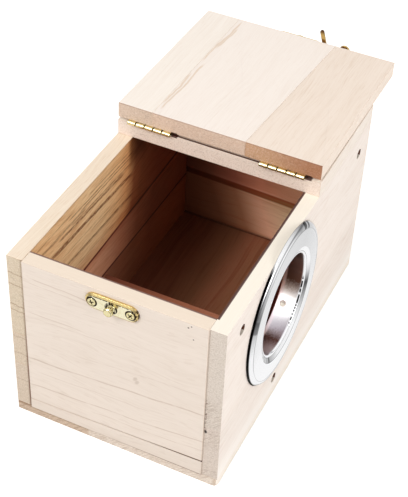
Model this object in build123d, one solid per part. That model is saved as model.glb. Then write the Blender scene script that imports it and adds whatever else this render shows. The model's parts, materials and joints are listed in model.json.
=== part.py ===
from build123d import *
import os
from math import asin, atan2, cos, degrees, hypot, radians, sin

os.makedirs("parts", exist_ok=True)

# A small wooden nest box with a lid that folds back on two brass hinges.
# Millimetres. X runs along the box from the latch end to the closed end,
# -Y is the wall with the entrance ring, +Z is up. The origin is the centre
# of the underside. The lid is modelled folded back on the fixed roof.

# Box
box_length = 197.0
box_width = 120.0
wall_top = 112.0
bottom_thickness = 6.0
side_thickness = 9.0
end_thickness = 9.0
latch_end_proud = 0.8
worn_corner_radius = 3.0

# Glue seams between the staves, as heights above the underside
ring_wall_seam = 44.0
plain_wall_low_seam = 37.0
plain_wall_high_seam = 59.0
latch_end_seam_plain_side = 13.0
latch_end_seam_ring_side = 17.0
open_seam_width = 0.7

# Low cross board on the floor
divider_thickness = 9.0
divider_below_ring = 37.0
divider_from_latch_end = 76.0

# Holes in the ring wall
hanging_hole_radius = 3.0
latch_end_hanging_hole_inset = 18.6
latch_end_hanging_hole_drop = 12.4
closed_end_hanging_hole_inset = 16.0
closed_end_hanging_hole_drop = 15.0
perch_hole_height = 14.0

# Entrance ring, pressed from sheet steel
ring_from_latch_end = 73.0
ring_height = 71.0
ring_bore_radius = 28.0
ring_outer_radius = 45.7
ring_sheet = 0.7
ring_rise = 3.0
ring_sleeve_depth = 10.0
ring_hole_clearance = 0.3
sleeve_hole_radius = 1.7
sleeve_hole_depth = 6.0
sleeve_hole_angle = 45.0
sleeve_hole_count = 4

# Fixed roof and lid
roof_length = 81.5
roof_thickness = 9.3
lid_thickness = 9.1
lid_overhang = 1.6
lid_side_inset = 0.3
lid_rest_gap = 0.25
lid_seam_plain_side = 39.0
lid_seam_hinge_end = -16.0
lid_seam_far_end = -23.0

# Hinges
hinge_length = 26.4
hinge_leaf_width = 9.5
hinge_leaf_thickness = 0.75
hinge_knuckle_radius = 1.3
hinge_knuckle_count = 5
hinge_knuckle_gap = 0.12
hinge_pin_radius = 0.55
hinge_running_gap = 0.05
hinge_axis_rise = 0.95
hinge_axis_lead = 1.1
hinge_sweep_gap = 0.25
plain_side_hinge_inset = 6.6
ring_side_hinge_inset = 8.6
hinge_screw_spacing = 16.0
hinge_screw_head_radius = 1.7
hinge_screw_shank_radius = 0.8
hinge_screw_length = 6.0

# Latch plates, their screws, the stud and the lever
plate_length = 29.3
keeper_plate_height = 10.0
keeper_plate_thickness = 1.8
keeper_plate_drop = 7.4
keeper_plate_bevel = 0.9
latch_plate_height = 8.4
latch_plate_thickness = 1.4
latch_plate_bevel = 0.6
plate_screw_spacing = 21.2
plate_screw_head_radius = 2.35
plate_screw_shank_radius = 1.1
plate_screw_length = 8.0
screw_seat_gap = 0.05
screw_cross_width = 0.7
stud_neck_radius = 1.6
stud_neck_length = 2.6
stud_head_radius = 2.6
stud_head_thickness = 1.5
rivet_radius = 1.5
rivet_head_radius = 2.7
rivet_head_thickness = 0.9
rivet_running_gap = 0.06
lever_thickness = 1.2
lever_plate_gap = 0.3
lever_boss_radius = 3.4
lever_arm_width = 3.2
lever_stud_gap = 0.2
lever_bill_width = 2.4
lever_bill_reach = 9.9
lever_bill_lean = 17.0
lever_hook_play = 0.8
lever_tab_radius = 3.2
lever_tab_reach = 28.0
lever_tab_rise = 1.6
lever_neck_width = 2.4

# Shares: how much of a screw's head its cross takes, where a leaf's screws stand,
# how much of a neck goes on through its plate, a head's dome, where the lever's
# arm straightens, and how far the ring's inner face must clear the wall
cross_reach_share = 0.62
cross_depth_share = 0.7
leaf_screw_share = 0.58
stem_share = 0.7
dome_edge_share = 0.45
dome_middle_share = 0.86
bend_share = 0.5
under_rise_share = 0.1

# How far the screws' crosses are turned, in degrees
cross_turn = 20.0

# One overrun for every cut
overrun = 1.0

# Places that follow from the sizes above
latch_end = -box_length / 2
closed_end = box_length / 2
latch_end_face = latch_end - latch_end_proud
ring_side = -box_width / 2
plain_side = box_width / 2
inner_half_width = box_width / 2 - side_thickness
roof_top = wall_top + roof_thickness
roof_front = closed_end - roof_length
hinge_axis_x = roof_front - hinge_axis_lead
hinge_axis_z = roof_top + hinge_axis_rise
lid_closed_end = latch_end - lid_overhang
lid_far_end = 2 * hinge_axis_x - lid_closed_end
lid_face_down = 2 * hinge_axis_z - roof_top
lid_face_up = lid_face_down + lid_thickness
lid_middle = lid_face_down + lid_thickness / 2
ring_x = latch_end + ring_from_latch_end
wall_hole_radius = ring_bore_radius + ring_sheet + ring_hole_clearance
latch_plate_face = lid_far_end + latch_plate_thickness
keeper_plate_face = latch_end_face - keeper_plate_thickness
keeper_plate_middle = wall_top - keeper_plate_drop
lid_half_width = box_width / 2 - lid_side_inset
roof_leaf_face = roof_top + hinge_leaf_thickness
lid_leaf_face = lid_face_down - hinge_leaf_thickness

# Directions
DOWN = (0, 0, -1)
UP = (0, 0, 1)
TO_CLOSED_END = (1, 0, 0)
TO_LATCH_END = (-1, 0, 0)
TO_PLAIN_SIDE = (0, 1, 0)
TO_RING_SIDE = (0, -1, 0)

# The folded lid sags past level until it nearly meets the roof's back edge
lid_fall = 2 * hinge_axis_rise - lid_rest_gap
lid_sag = degrees(asin(lid_fall / (roof_length + hinge_axis_lead)))


def board(x0, x1, y0, y1, z0, z1):
    """A square-cut board between two corners."""
    centre = Pos((x0 + x1) / 2, (y0 + y1) / 2, (z0 + z1) / 2)
    return centre * Box(x1 - x0, y1 - y0, z1 - z0)


def prism(points, plane, depth):
    """A straight-sided piece: an outline on a plane, carried along its normal."""
    outline = plane * make_face(Polyline(*points, close=True))
    return extrude(outline, depth)


def turned(profile, centre, direction, x_dir=(0, 0, 1)):
    """A turned piece: (radius, height) points spun about the direction."""
    points = [(radius, 0, height) for radius, height in profile]
    spun = revolve(make_face(Polyline(*points, close=True)), Axis.Z)
    return Plane(origin=centre, x_dir=x_dir, z_dir=direction).location * spun


def rod(radius, start, direction, length):
    """A round bar or, as a cutter, a round hole."""
    profile = [(0, 0), (radius, 0), (radius, length), (0, length)]
    return turned(profile, start, direction, x_dir=perpendicular(direction))


def perpendicular(direction):
    """An axis direction square to one that runs along Y or lies square to it."""
    return TO_PLAIN_SIDE if direction[1] == 0 else UP


def hole(radius, start, direction, length):
    """A round cutter that overruns the stock at both ends."""
    back = Vector(*start) - Vector(*direction) * overrun
    return rod(radius, back, direction, length + 2 * overrun)


def save(solid, name):
    """Writes one node's file."""
    export_step(solid, f"parts/{name}.step")


def save_on_lid(solid, name):
    """Writes a node that rides on the lid, sagged about the hinge axis with it."""
    axis = Pos(hinge_axis_x, 0, hinge_axis_z)
    save(axis * Rot(0, lid_sag, 0) * axis.inverse() * solid, name)


def screw_head_depth(head, shank):
    """A countersunk head is as deep as its cone is wide, at 90 degrees."""
    return head - shank


def screw(centre, direction, head, shank, length):
    """A countersunk wood screw with a cross in its head; it points along the direction."""
    cone = screw_head_depth(head, shank)
    point = length - shank * 2
    profile = [(0, 0), (head, 0), (shank, cone), (shank, point), (0, length)]
    across = perpendicular(direction)
    solid = turned(profile, centre, direction, x_dir=across)
    plane = Plane(origin=centre, x_dir=across, z_dir=direction)
    arm = head * cross_reach_share * 2
    sunk = cone * cross_depth_share * 2
    slot = Box(arm, screw_cross_width, sunk) + Box(screw_cross_width, arm, sunk)
    return solid - plane.location * Rot(0, 0, cross_turn) * slot


def screw_seat(centre, direction, head, shank, length):
    """The hole that a countersunk screw sits in, with its clearance."""
    cone = screw_head_depth(head, shank)
    wide = head + screw_seat_gap
    narrow = shank + screw_seat_gap
    mouth = [(0, -overrun), (wide, -overrun), (wide, 0)]
    profile = mouth + [(narrow, cone), (narrow, length), (0, length)]
    return turned(profile, centre, direction, x_dir=perpendicular(direction))


def keeper_screw_places():
    """Centres of the two keeper plate screws, on the plate's face."""
    half = plate_screw_spacing / 2
    return [(keeper_plate_face, side * half, keeper_plate_middle) for side in (1, -1)]


def latch_screw_places():
    """Centres of the two lid plate screws, on the plate's face."""
    half = plate_screw_spacing / 2
    return [(latch_plate_face, side * half, lid_middle) for side in (1, -1)]


def plate_screw_seats(places, direction):
    """Cutters for the plate screws."""
    sizes = plate_screw_head_radius, plate_screw_shank_radius, plate_screw_length
    return [screw_seat(place, direction, *sizes) for place in places]


def plate_screws(places, direction):
    """The plate screws themselves."""
    sizes = plate_screw_head_radius, plate_screw_shank_radius, plate_screw_length
    return [screw(place, direction, *sizes) for place in places]


def hinge_starts():
    """Where each hinge begins and ends along Y, by name."""
    plain = plain_side - plain_side_hinge_inset
    ring = ring_side + ring_side_hinge_inset
    return {"plain_side": plain - hinge_length, "ring_side": ring}


def hinge_screw_places(start, height):
    """Centres of one leaf's two screws at rest, on the given face height."""
    middle = start + hinge_length / 2
    x = hinge_axis_x + hinge_leaf_width * leaf_screw_share
    return [(x, middle + side * hinge_screw_spacing / 2, height) for side in (1, -1)]


def leaf_screw_seats(start, height, direction):
    """Cutters for one leaf's screws."""
    sizes = hinge_screw_head_radius, hinge_screw_shank_radius, hinge_screw_length
    return [screw_seat(place, direction, *sizes) for place in hinge_screw_places(start, height)]


def bottom_board():
    """The floor, under all four walls, with one worn corner."""
    floor = board(latch_end, closed_end, ring_side, plain_side, 0, bottom_thickness)
    corner = floor.edges().filter_by(Axis.Z).sort_by(lambda e: e.center().X - e.center().Y)[0]
    return fillet(corner, worn_corner_radius)


def hanging_hole_places():
    """The two hanging holes' X and Z; they are drilled by eye, not level."""
    latch = (latch_end + latch_end_hanging_hole_inset, wall_top - latch_end_hanging_hole_drop)
    closed = (closed_end - closed_end_hanging_hole_inset, wall_top - closed_end_hanging_hole_drop)
    return latch, closed


def ring_wall_holes():
    """Cutters for the entrance, the two hanging holes and the perch hole."""
    places = [(wall_hole_radius, ring_x, ring_height)]
    places += [(hanging_hole_radius, x, z) for x, z in hanging_hole_places()]
    places += [(hanging_hole_radius, ring_x, perch_hole_height)]
    return [hole(radius, (x, ring_side, z), TO_PLAIN_SIDE, side_thickness) for radius, x, z in places]


def ring_wall():
    """The entrance wall's two staves; each takes the holes that reach it."""
    upper = board(latch_end, closed_end, ring_side, -inner_half_width, ring_wall_seam, wall_top)
    lower = board(latch_end, closed_end, ring_side, -inner_half_width, bottom_thickness, ring_wall_seam)
    cutters = ring_wall_holes()
    return cut_all(upper, cutters), cut_all(lower, cutters)


def plain_wall():
    """The blind wall's three staves, from the bottom up."""
    heights = [bottom_thickness, plain_wall_low_seam, plain_wall_high_seam, wall_top]
    return [
        board(latch_end, closed_end, inner_half_width, plain_side, low, high)
        for low, high in zip(heights, heights[1:])
    ]


def latch_end_panel():
    """The latch end's two staves; their seam slopes, and gapes towards the ring side."""
    face = Plane(origin=(latch_end_face, 0, 0), x_dir=TO_PLAIN_SIDE, z_dir=TO_CLOSED_END)
    ring, plain = -inner_half_width, inner_half_width
    seam_top = [(ring, latch_end_seam_ring_side), (plain, latch_end_seam_plain_side)]
    seam_low = [(ring, latch_end_seam_ring_side - open_seam_width), (plain, latch_end_seam_plain_side)]
    upper = prism(seam_top + [(plain, wall_top), (ring, wall_top)], face, end_thickness)
    lower = prism([(ring, bottom_thickness), (plain, bottom_thickness)] + seam_low[::-1], face, end_thickness)
    cutters = plate_screw_seats(keeper_screw_places(), TO_CLOSED_END)
    return cut_all(upper, cutters), cut_all(lower, cutters)


def closed_end_panel():
    """The far end, in one board between the side walls."""
    inside = closed_end - end_thickness
    return board(inside, closed_end, -inner_half_width, inner_half_width, bottom_thickness, wall_top)


def fixed_roof():
    """The roof over the closed end; the hinges are screwed to its top."""
    roof = board(roof_front, closed_end, ring_side, plain_side, wall_top, roof_top)
    for start in hinge_starts().values():
        for seat in leaf_screw_seats(start, roof_leaf_face, DOWN):
            roof -= seat
    return roof


def nest_divider():
    """The low board across the floor that keeps the nest at the closed end."""
    front = latch_end + divider_from_latch_end
    back = front + divider_thickness
    top = ring_height - divider_below_ring
    return board(front, back, -inner_half_width, inner_half_width, bottom_thickness, top)


def lid_staves():
    """The lid's three staves, folded back: plain side, middle and ring side."""
    face = Plane.XY.offset(lid_face_down)
    near, far = roof_front, lid_far_end
    near_seam, far_seam = (near, lid_seam_hinge_end), (far, lid_seam_far_end)
    plain_near, plain_far = (near, lid_seam_plain_side), (far, lid_seam_plain_side)
    outlines = [
        [plain_near, plain_far, (far, lid_half_width), (near, lid_half_width)],
        [near_seam, far_seam, plain_far, plain_near],
        [(near, -lid_half_width), (far, -lid_half_width), far_seam, near_seam],
    ]
    staves = [prism(outline, face, lid_thickness) for outline in outlines]
    cutters = plate_screw_seats(latch_screw_places(), TO_LATCH_END)
    for start in hinge_starts().values():
        cutters += leaf_screw_seats(start, lid_leaf_face, UP)
    return [cut_all(stave, cutters) for stave in staves]


def cut_all(solid, cutters):
    """Cuts a solid by each cutter whose box reaches it."""
    box = solid.bounding_box()
    for cutter in cutters:
        if boxes_meet(box, cutter.bounding_box()):
            solid -= cutter
    return solid


def boxes_meet(one, other):
    """True where two bounding boxes overlap."""
    below = [one.min.X < other.max.X, one.min.Y < other.max.Y, one.min.Z < other.max.Z]
    above = [one.max.X > other.min.X, one.max.Y > other.min.Y, one.max.Z > other.min.Z]
    return all(below + above)


# The ring's face in section, from the bore outwards: each row is a share of the
# way from the bore to the outer edge, and a share of the ring's rise.
ring_face_shares = [
    (0.010, 0.22),
    (0.028, 0.50),
    (0.054, 0.66),
    (0.085, 0.63),
    (0.113, 0.67),
    (0.249, 0.97),
    (0.294, 1.0),
    (0.734, 0.97),
    (0.819, 0.92),
    (0.904, 0.72),
    (0.972, 0.42),
    (1.0, 0.14),
    (1.0, 0.0),
]


def ring_profile():
    """Outline of the pressed sheet: its outer face, then the inner face back."""
    width = ring_outer_radius - ring_bore_radius
    face = [(ring_bore_radius + r * width, h * ring_rise) for r, h in ring_face_shares]
    outer = [(ring_bore_radius, -ring_sleeve_depth), (ring_bore_radius, 0)] + face
    hidden = [(ring_outer_radius - ring_sheet, 0)]
    under = ring_under_face(face, hidden)
    sleeve_out = ring_bore_radius + ring_sheet
    return outer + under + [(sleeve_out, 0), (sleeve_out, -ring_sleeve_depth)]


def ring_under_face(face, hidden):
    """The sheet's inner face: the pressed face moved in by the sheet's thickness."""
    inside = [
        (radius, rise - ring_sheet)
        for radius, rise in face[::-1]
        if rise - ring_sheet > ring_sheet * under_rise_share
        and ring_bore_radius + 2 * ring_sheet < radius < ring_outer_radius - ring_sheet
    ]
    return hidden + inside


def entrance_ring():
    """The pressed ring: a rolled edge, a broad face and a sleeve into the wall."""
    centre = (ring_x, ring_side, ring_height)
    ring = turned(ring_profile(), centre, TO_RING_SIDE)
    step = 360.0 / sleeve_hole_count
    for place in range(sleeve_hole_count):
        turn = radians(sleeve_hole_angle + place * step)
        start = (ring_x, ring_side + sleeve_hole_depth, ring_height)
        direction = (cos(turn), 0, sin(turn))
        drill = rod(sleeve_hole_radius, start, direction, wall_hole_radius)
        ring -= drill
    return ring


def stadium_plate(height, thickness, bevel, centre, direction):
    """A flat latch plate with round ends and a bevelled front edge."""
    plate = extrude(SlotOverall(plate_length, height), thickness)
    front = plate.faces().sort_by(Axis.Z)[-1]
    plate = chamfer(front.edges(), bevel)
    place = Plane(origin=centre, x_dir=TO_PLAIN_SIDE, z_dir=direction)
    return place.location * plate


def pin_hole(neck_radius, centre, thickness):
    """The hole in a latch plate that a pin's stem goes through."""
    return hole(neck_radius * stem_share + screw_seat_gap, centre, TO_CLOSED_END, thickness)


def keeper_plate():
    """The strike plate, screwed to the latch end, with the stud's hole."""
    centre = (latch_end_face, 0, keeper_plate_middle)
    face = (keeper_plate_face, 0, keeper_plate_middle)
    sizes = keeper_plate_height, keeper_plate_thickness, keeper_plate_bevel
    plate = stadium_plate(*sizes, centre, TO_LATCH_END)
    for seat in plate_screw_seats(keeper_screw_places(), TO_CLOSED_END):
        plate -= seat
    return plate - pin_hole(stud_neck_radius, face, keeper_plate_thickness)


def headed_pin(stem, stem_length, neck, neck_length, head, head_thickness, centre, direction):
    """A pin with a stem behind its centre, a neck before it and a domed head."""
    top = neck_length + head_thickness
    edge = neck_length + head_thickness * dome_edge_share
    middle = neck_length + head_thickness * dome_middle_share
    profile = [
        (0, -stem_length),
        (stem, -stem_length),
        (stem, 0),
        (neck, 0),
        (neck, neck_length),
        (head, neck_length),
        (head, edge),
        (head * dome_middle_share, middle),
        (head * dome_edge_share, top),
        (0, top),
    ]
    return turned(profile, centre, direction)


def keeper_stud():
    """The round stud that the lever hooks on."""
    centre = (keeper_plate_face, 0, keeper_plate_middle)
    return headed_pin(
        stud_neck_radius * stem_share,
        keeper_plate_thickness,
        stud_neck_radius,
        stud_neck_length,
        stud_head_radius,
        stud_head_thickness,
        centre,
        TO_LATCH_END,
    )


def latch_plate():
    """The lid's plate, screwed to its far edge, with the rivet's hole."""
    centre = (lid_far_end, 0, lid_middle)
    sizes = latch_plate_height, latch_plate_thickness, latch_plate_bevel
    plate = stadium_plate(*sizes, centre, TO_CLOSED_END)
    for seat in plate_screw_seats(latch_screw_places(), TO_LATCH_END):
        plate -= seat
    return plate - pin_hole(rivet_radius, centre, latch_plate_thickness)


def latch_rivet():
    """The rivet that the lever turns on."""
    neck = lever_plate_gap + lever_thickness + lever_plate_gap
    centre = (latch_plate_face, 0, lid_middle)
    return headed_pin(
        rivet_radius * stem_share,
        latch_plate_thickness,
        rivet_radius,
        neck,
        rivet_head_radius,
        rivet_head_thickness,
        centre,
        TO_CLOSED_END,
    )


def stroke(start, end, width):
    """A flat bar with round ends between two points of an outline."""
    run, rise = end[0] - start[0], end[1] - start[1]
    middle = Pos((start[0] + end[0]) / 2, (start[1] + end[1]) / 2)
    turn = degrees(atan2(rise, run))
    return middle * Rot(0, 0, turn) * SlotCenterToCenter(hypot(run, rise), width)


def lever_points():
    """Corners of the lever's centre line, from its pivot: along the arm, then across it."""
    stud_reach = lid_closed_middle() - keeper_plate_middle
    arm_side = -(stud_neck_radius + lever_stud_gap + lever_arm_width / 2)
    lean = radians(lever_bill_lean)
    bill_clear = (stud_neck_radius + lever_stud_gap + lever_bill_width / 2) / cos(lean)
    root_reach = stud_reach + bill_clear - arm_side * sin(lean) / cos(lean) + lever_hook_play
    tip_reach = root_reach - (lever_bill_reach - arm_side) * sin(lean) / cos(lean)
    bend = (stud_reach * bend_share, arm_side)
    root = (root_reach, arm_side)
    tip = (tip_reach, lever_bill_reach)
    tab = (lever_tab_reach, lever_tab_rise)
    return bend, root, tip, tab


def lid_closed_middle():
    """Height of the lid's mid thickness with the lid shut."""
    return 2 * hinge_axis_z - lid_middle


def latch_lever():
    """The hook lever at rest: its arm lies along the lid's edge, its bill stands up."""
    bend, root, tip, tab = lever_points()
    outline = Circle(lever_boss_radius)
    outline += stroke((0, 0), bend, lever_arm_width)
    outline += stroke(bend, root, lever_arm_width)
    outline += stroke(root, tip, lever_bill_width)
    outline += stroke(root, tab, lever_neck_width)
    outline += Pos(*tab) * Circle(lever_tab_radius)
    outline -= Circle(rivet_radius + rivet_running_gap)
    outer_face = latch_plate_face + lever_plate_gap + lever_thickness
    plane = Plane(origin=(outer_face, 0, lid_middle), x_dir=TO_RING_SIDE, z_dir=TO_LATCH_END)
    return extrude(plane * outline, lever_thickness)


def knuckle_bands(start, first):
    """Every second knuckle's span along Y, beginning with the first or second."""
    pitch = hinge_length / hinge_knuckle_count
    half_gap = hinge_knuckle_gap / 2
    return [
        (start + place * pitch + half_gap, start + (place + 1) * pitch - half_gap)
        for place in range(first, hinge_knuckle_count, 2)
    ]


def leaf(start, first, flip):
    """One hinge leaf at rest, with its knuckles; flip is 1 on the roof and -1 on the lid."""
    back = -flip * hinge_axis_rise
    low, high = sorted([hinge_axis_z + back, hinge_axis_z + back + flip * hinge_leaf_thickness])
    end = hinge_axis_x + hinge_leaf_width
    solid = board(hinge_axis_x, end, start, start + hinge_length, low, high)
    reach = hinge_knuckle_radius + hinge_sweep_gap
    for y0, y1 in knuckle_bands(start, 1 - first):
        span = y1 - y0 + 2 * hinge_knuckle_gap
        solid -= rod(reach, (hinge_axis_x, y0 - hinge_knuckle_gap, hinge_axis_z), TO_PLAIN_SIDE, span)
    for y0, y1 in knuckle_bands(start, first):
        solid += rod(hinge_knuckle_radius, (hinge_axis_x, y0, hinge_axis_z), TO_PLAIN_SIDE, y1 - y0)
    bore = hinge_pin_radius + hinge_running_gap
    solid -= hole(bore, (hinge_axis_x, start, hinge_axis_z), TO_PLAIN_SIDE, hinge_length)
    face = roof_leaf_face if flip > 0 else lid_leaf_face
    for seat in leaf_screw_seats(start, face, DOWN if flip > 0 else UP):
        solid -= seat
    return solid


def hinge_pin(start):
    """One hinge's pin, as long as its knuckles."""
    return rod(hinge_pin_radius, (hinge_axis_x, start, hinge_axis_z), TO_PLAIN_SIDE, hinge_length)


def leaf_screws(height, direction):
    """The screws of both hinges' leaves on one board."""
    sizes = hinge_screw_head_radius, hinge_screw_shank_radius, hinge_screw_length
    return [
        screw(place, direction, *sizes)
        for start in hinge_starts().values()
        for place in hinge_screw_places(start, height)
    ]


save(bottom_board(), "bottom_board")
ring_wall_upper, ring_wall_lower = ring_wall()
save(ring_wall_upper, "ring_wall_upper_stave")
save(ring_wall_lower, "ring_wall_lower_stave")
for stave_name, stave in zip(("lower", "middle", "upper"), plain_wall()):
    save(stave, f"plain_wall_{stave_name}_stave")
latch_end_upper, latch_end_lower = latch_end_panel()
save(latch_end_upper, "latch_end_upper_stave")
save(latch_end_lower, "latch_end_lower_stave")
save(closed_end_panel(), "closed_end_panel")
save(fixed_roof(), "fixed_roof")
save(nest_divider(), "nest_divider")
save(entrance_ring(), "entrance_ring")
for stave_name, stave in zip(("plain_side", "middle", "ring_side"), lid_staves()):
    save_on_lid(stave, f"lid_{stave_name}_stave")
save(keeper_plate(), "keeper_plate")
save(keeper_stud(), "keeper_stud")
save(Compound(plate_screws(keeper_screw_places(), TO_CLOSED_END)), "keeper_plate_screws")
save_on_lid(latch_plate(), "latch_plate")
save_on_lid(latch_rivet(), "latch_rivet")
save_on_lid(Compound(plate_screws(latch_screw_places(), TO_LATCH_END)), "latch_plate_screws")
save_on_lid(latch_lever(), "latch_lever")
for hinge_name, hinge_start in hinge_starts().items():
    save(leaf(hinge_start, 1, 1), f"hinge_{hinge_name}_roof_leaf")
    save_on_lid(leaf(hinge_start, 0, -1), f"hinge_{hinge_name}_lid_leaf")
    save(hinge_pin(hinge_start), f"hinge_{hinge_name}_pin")
save(Compound(leaf_screws(roof_leaf_face, DOWN)), "hinge_roof_screws")
save_on_lid(Compound(leaf_screws(lid_leaf_face, UP)), "hinge_lid_screws")
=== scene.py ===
"""A small pale wooden nest box with a pressed steel entrance ring, brass hinges and a hook latch."""

import json
import math

import bmesh
import bpy
import numpy as np
from mathutils import Matrix

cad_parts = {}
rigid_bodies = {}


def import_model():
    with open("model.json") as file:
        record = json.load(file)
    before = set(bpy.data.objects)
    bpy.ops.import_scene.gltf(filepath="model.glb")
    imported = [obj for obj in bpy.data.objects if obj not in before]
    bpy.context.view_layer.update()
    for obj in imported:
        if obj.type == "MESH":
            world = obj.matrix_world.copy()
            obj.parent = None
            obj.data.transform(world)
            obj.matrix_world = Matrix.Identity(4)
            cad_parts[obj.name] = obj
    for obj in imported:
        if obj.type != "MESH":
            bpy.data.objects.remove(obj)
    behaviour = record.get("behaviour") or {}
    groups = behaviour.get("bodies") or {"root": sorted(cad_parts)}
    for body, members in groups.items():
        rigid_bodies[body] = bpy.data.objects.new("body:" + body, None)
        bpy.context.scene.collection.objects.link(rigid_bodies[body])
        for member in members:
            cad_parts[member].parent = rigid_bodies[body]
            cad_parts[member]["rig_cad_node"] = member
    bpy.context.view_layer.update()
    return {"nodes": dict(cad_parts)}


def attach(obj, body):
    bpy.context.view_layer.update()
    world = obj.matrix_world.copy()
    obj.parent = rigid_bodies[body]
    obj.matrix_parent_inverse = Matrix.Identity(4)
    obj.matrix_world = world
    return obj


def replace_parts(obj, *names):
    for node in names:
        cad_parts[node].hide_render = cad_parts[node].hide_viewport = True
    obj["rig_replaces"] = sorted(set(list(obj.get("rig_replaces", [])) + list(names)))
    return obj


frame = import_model()
nodes = frame["nodes"]
MM = 0.001

# The box in millimetres, in the part's own frame
LATCH_END, CLOSED_END, LATCH_FACE = -98.5, 98.5, -99.3
HALF_WIDTH, INNER_HALF = 60, 51
WALL_TOP, FLOOR_TOP, BOARD = 112, 6, 9
STAVE_SEAMS = 37, 59
ROOF_FRONT, ROOF_TOP = 17, 121.3
DIVIDER_FRONT, DIVIDER_TOP = -22.5, 34
SEAM_LOW, SEAM_HIGH, SEAM_GAP = 13, 17, 0.7

# The folded lid and its hinges
HINGE_X, HINGE_Z, LID_SAG = 15.9, 122.25, math.radians(1.1446)
LID_LOW, LID_THICK, LID_FAR, LID_HALF_WIDTH = 123.2, 9.1, 131.9, 59.7
LID_MIDDLE = LID_LOW + LID_THICK / 2
PLAIN_SEAM, RING_SEAM_NEAR, RING_SEAM_FAR = 39, -16, -23
HINGES = {"plain_side": 27, "ring_side": -51.4}
HINGE_LENGTH, KNUCKLE_RADIUS, LEAF_REACH, LEAF_THICK, PIN_RADIUS = 26.4, 1.3, 9.5, 0.75, 0.55
SCREW_RADIUS, SCREW_STEP = 1.65, 8

# The ring from its bore outwards, and its wall's drilled holes
RING_X, RING_Z, BORE, SLEEVE, NAIL_DEPTH = -25.5, 71, 28, 10, 6
LIP_EDGE, STEP_EDGE, FLAT_EDGE, ROLL_EDGE = 29.5, 32.3, 42.3, 45.7
HOLES, HOLE_RADIUS = ((-79.9, 99.6), (82.5, 97), (RING_X, 14)), 3

# The latch's two plates
KEEPER_FACE, KEEPER_Z, KEEPER_HEIGHT = -101.1, 104.6, 10
LID_PLATE_FACE, LID_PLATE_Z, LID_PLATE_HEIGHT = 133.3, 125.43, 8.4
PLATE_LENGTH, PLATE_SCREW, PLATE_SCREW_RADIUS = 29.3, 10.6, 2.3

# Directions, and the point in metres that lamps aim at
X, Y, Z = np.eye(3)
LAMP_AIM = 0.08 * Z


# Surfaces

def eased(points, ease, closed=False, steps=5):
    """Rounds a line's corners: each corner C between neighbours A and B becomes the curve
    (1-t)^2 P + 2t(1-t) C + t^2 Q, with P and Q an ease's length from C towards A and B.
    Returns the points, the unit normals to their right, and how far each lies on a corner."""
    points = np.asarray(points, float)
    ease = np.broadcast_to(ease, len(points))
    corner, before, after = points, np.roll(points, 1, 0), np.roll(points, -1, 0)
    if not closed:
        corner, before, after, ease = corner[1:-1], before[1:-1], after[1:-1], ease[1:-1]
    come, go = corner - before, after - corner
    long_in, long_out = np.linalg.norm(come, axis=1), np.linalg.norm(go, axis=1)
    reach = np.minimum(ease, 0.49 * np.minimum(long_in, long_out))[:, None]
    come, go = come / long_in[:, None], go / long_out[:, None]
    t = np.linspace(0, 1, steps)[None, :, None]
    start, end = (corner - reach * come)[:, None], (corner + reach * go)[:, None]
    line = (1 - t) ** 2 * start + 2 * t * (1 - t) * corner[:, None] + t ** 2 * end
    ahead = (1 - t) * come[:, None] + t * go[:, None]
    ahead /= np.linalg.norm(ahead, axis=2, keepdims=True)
    normal = np.stack([ahead[..., 1], -ahead[..., 0]], -1)
    rub = np.broadcast_to(4 * t[..., 0] * (1 - t[..., 0]), line.shape[:2])
    return line.reshape(-1, 2), normal.reshape(-1, 2), rub.reshape(-1)


def circle(count):
    """A lathe's outline: every point at the centre, every normal straight out."""
    turn = np.linspace(0, 2 * math.pi, count, endpoint=False)
    return np.zeros((count, 2)), np.stack([np.cos(turn), np.sin(turn)], -1), np.zeros(count)


def swept(outline, section, seat):
    """A section carried round an outline: point = outline + q * outline normal + h * axis, where (q, h)
    runs along the section. seat is (origin, u, v, axis). Returns grids of points, normals and rub."""
    (plan, out, across), (line, tilt, rub) = outline, section
    origin, u, v, axis = seat
    flat = plan[None] + line[:, None, :1] * out[None]
    points = origin + flat[..., :1] * u + flat[..., 1:] * v + line[:, None, 1:] * axis
    lean = tilt[:, None, :1] * out[None]
    normals = lean[..., :1] * u + lean[..., 1:] * v + tilt[:, None, 1:] * axis
    rubs = np.maximum(rub[:, None], across[None])
    rubs[[0, -1]] = 0
    return points, normals, rubs


def sagged(points, spot=(HINGE_X, 0, HINGE_Z)):
    """Turns points, or directions when spot is zero, by the lid's sag about the hinge axis."""
    cos, sin = math.cos(LID_SAG), math.sin(LID_SAG)
    turn = np.array([[cos, 0, sin], [0, 1, 0], [-sin, 0, cos]])
    return (points - spot) @ turn.T + spot


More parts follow.
